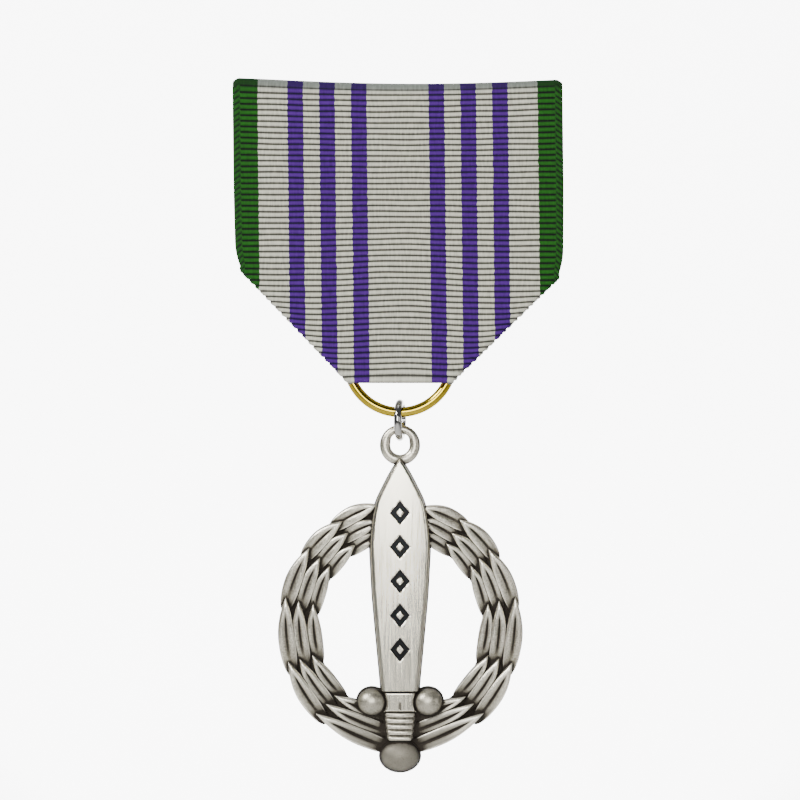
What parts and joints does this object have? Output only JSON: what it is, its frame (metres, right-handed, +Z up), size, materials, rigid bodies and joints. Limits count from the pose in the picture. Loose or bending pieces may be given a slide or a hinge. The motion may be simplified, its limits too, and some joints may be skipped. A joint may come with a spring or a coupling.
{
  "type": "military service medal",
  "caption": "Full-size medal: an openwork wreath with an applied sword, linked by rings to a folded striped ribbon drape on a slotted pin-back brooch.",
  "frame": {"origin": "middle of the brooch plate's back face, which lies against the wearer's cloth", "axes": "+Z up as worn, along the hanging medal; +Y into the wearer; +X to the right seen from the front"},
  "size_m": [0.035, 0.0063, 0.0739],
  "materials": {
    "gilt_brass": "polished gilt",
    "nickel_wire": "bright nickel plate",
    "antiqued_silver_casting": "silver plate with dark patina in the recesses",
    "satin_silver_plate": "satin brushed silver plate",
    "black_enamel": "filled and stoned flush",
    "grosgrain_ribbon": "ribbed weave with green, grey and purple stripes",
    "cotton_tape": "plain woven tape"
  },
  "bodies": {
    "brooch": {"brooch_frame": "gilt_brass", "hinge_bracket": "gilt_brass", "hinge_rivet": "gilt_brass", "catch_body": "gilt_brass"},
    "pin": {"pin_stem": "nickel_wire"},
    "lock": {"catch_lock": "gilt_brass"},
    "drape": {"ribbon": "grosgrain_ribbon", "ring_tab": "cotton_tape"},
    "ring": {"suspension_ring": "gilt_brass"},
    "link": {"jump_ring": "nickel_wire"},
    "pendant": {"wreath": "antiqued_silver_casting", "pendant_loop": "antiqued_silver_casting", "sword_blade": "satin_silver_plate", "enamel_lozenge_1": "black_enamel", "enamel_lozenge_2": "black_enamel", "enamel_lozenge_3": "black_enamel", "enamel_lozenge_4": "black_enamel", "enamel_lozenge_5": "black_enamel", "guard_block": "satin_silver_plate", "guard_ball_left": "antiqued_silver_casting", "guard_ball_right": "antiqued_silver_casting", "grip": "antiqued_silver_casting", "pommel": "antiqued_silver_casting"}
  },
  "joints": [
    {"name": "pin_hinge", "type": "hinge", "parent": "brooch", "child": "pin", "pos_m": [-0.0133, 0.0019, 0], "axis": [0, 0, 1], "range_deg": [0, 100]},
    {"name": "catch_turn", "type": "hinge", "parent": "brooch", "child": "lock", "pos_m": [0.013, 0.0019, 0], "axis": [-1, 0, 0], "range_deg": [0, 110]},
    {"name": "drape_swing", "type": "hinge", "parent": "brooch", "child": "drape", "pos_m": [0, -0.0004, 0.00585], "axis": [-1, 0, 0], "range_deg": [0, 60]},
    {"name": "ring_turn", "type": "hinge", "parent": "drape", "child": "ring", "pos_m": [0, -0.00023, -0.0225], "axis": [0, 1, 0], "range_deg": [-30, 30]},
    {"name": "link_swing", "type": "hinge", "parent": "ring", "child": "link", "pos_m": [0, -0.00023, -0.0281], "axis": [1, 0, 0], "range_deg": [-60, 60]},
    {"name": "pendant_sway", "type": "hinge", "parent": "link", "child": "pendant", "pos_m": [0, -0.00023, -0.03079], "axis": [0, 1, 0], "range_deg": [-45, 45]}
  ]
}
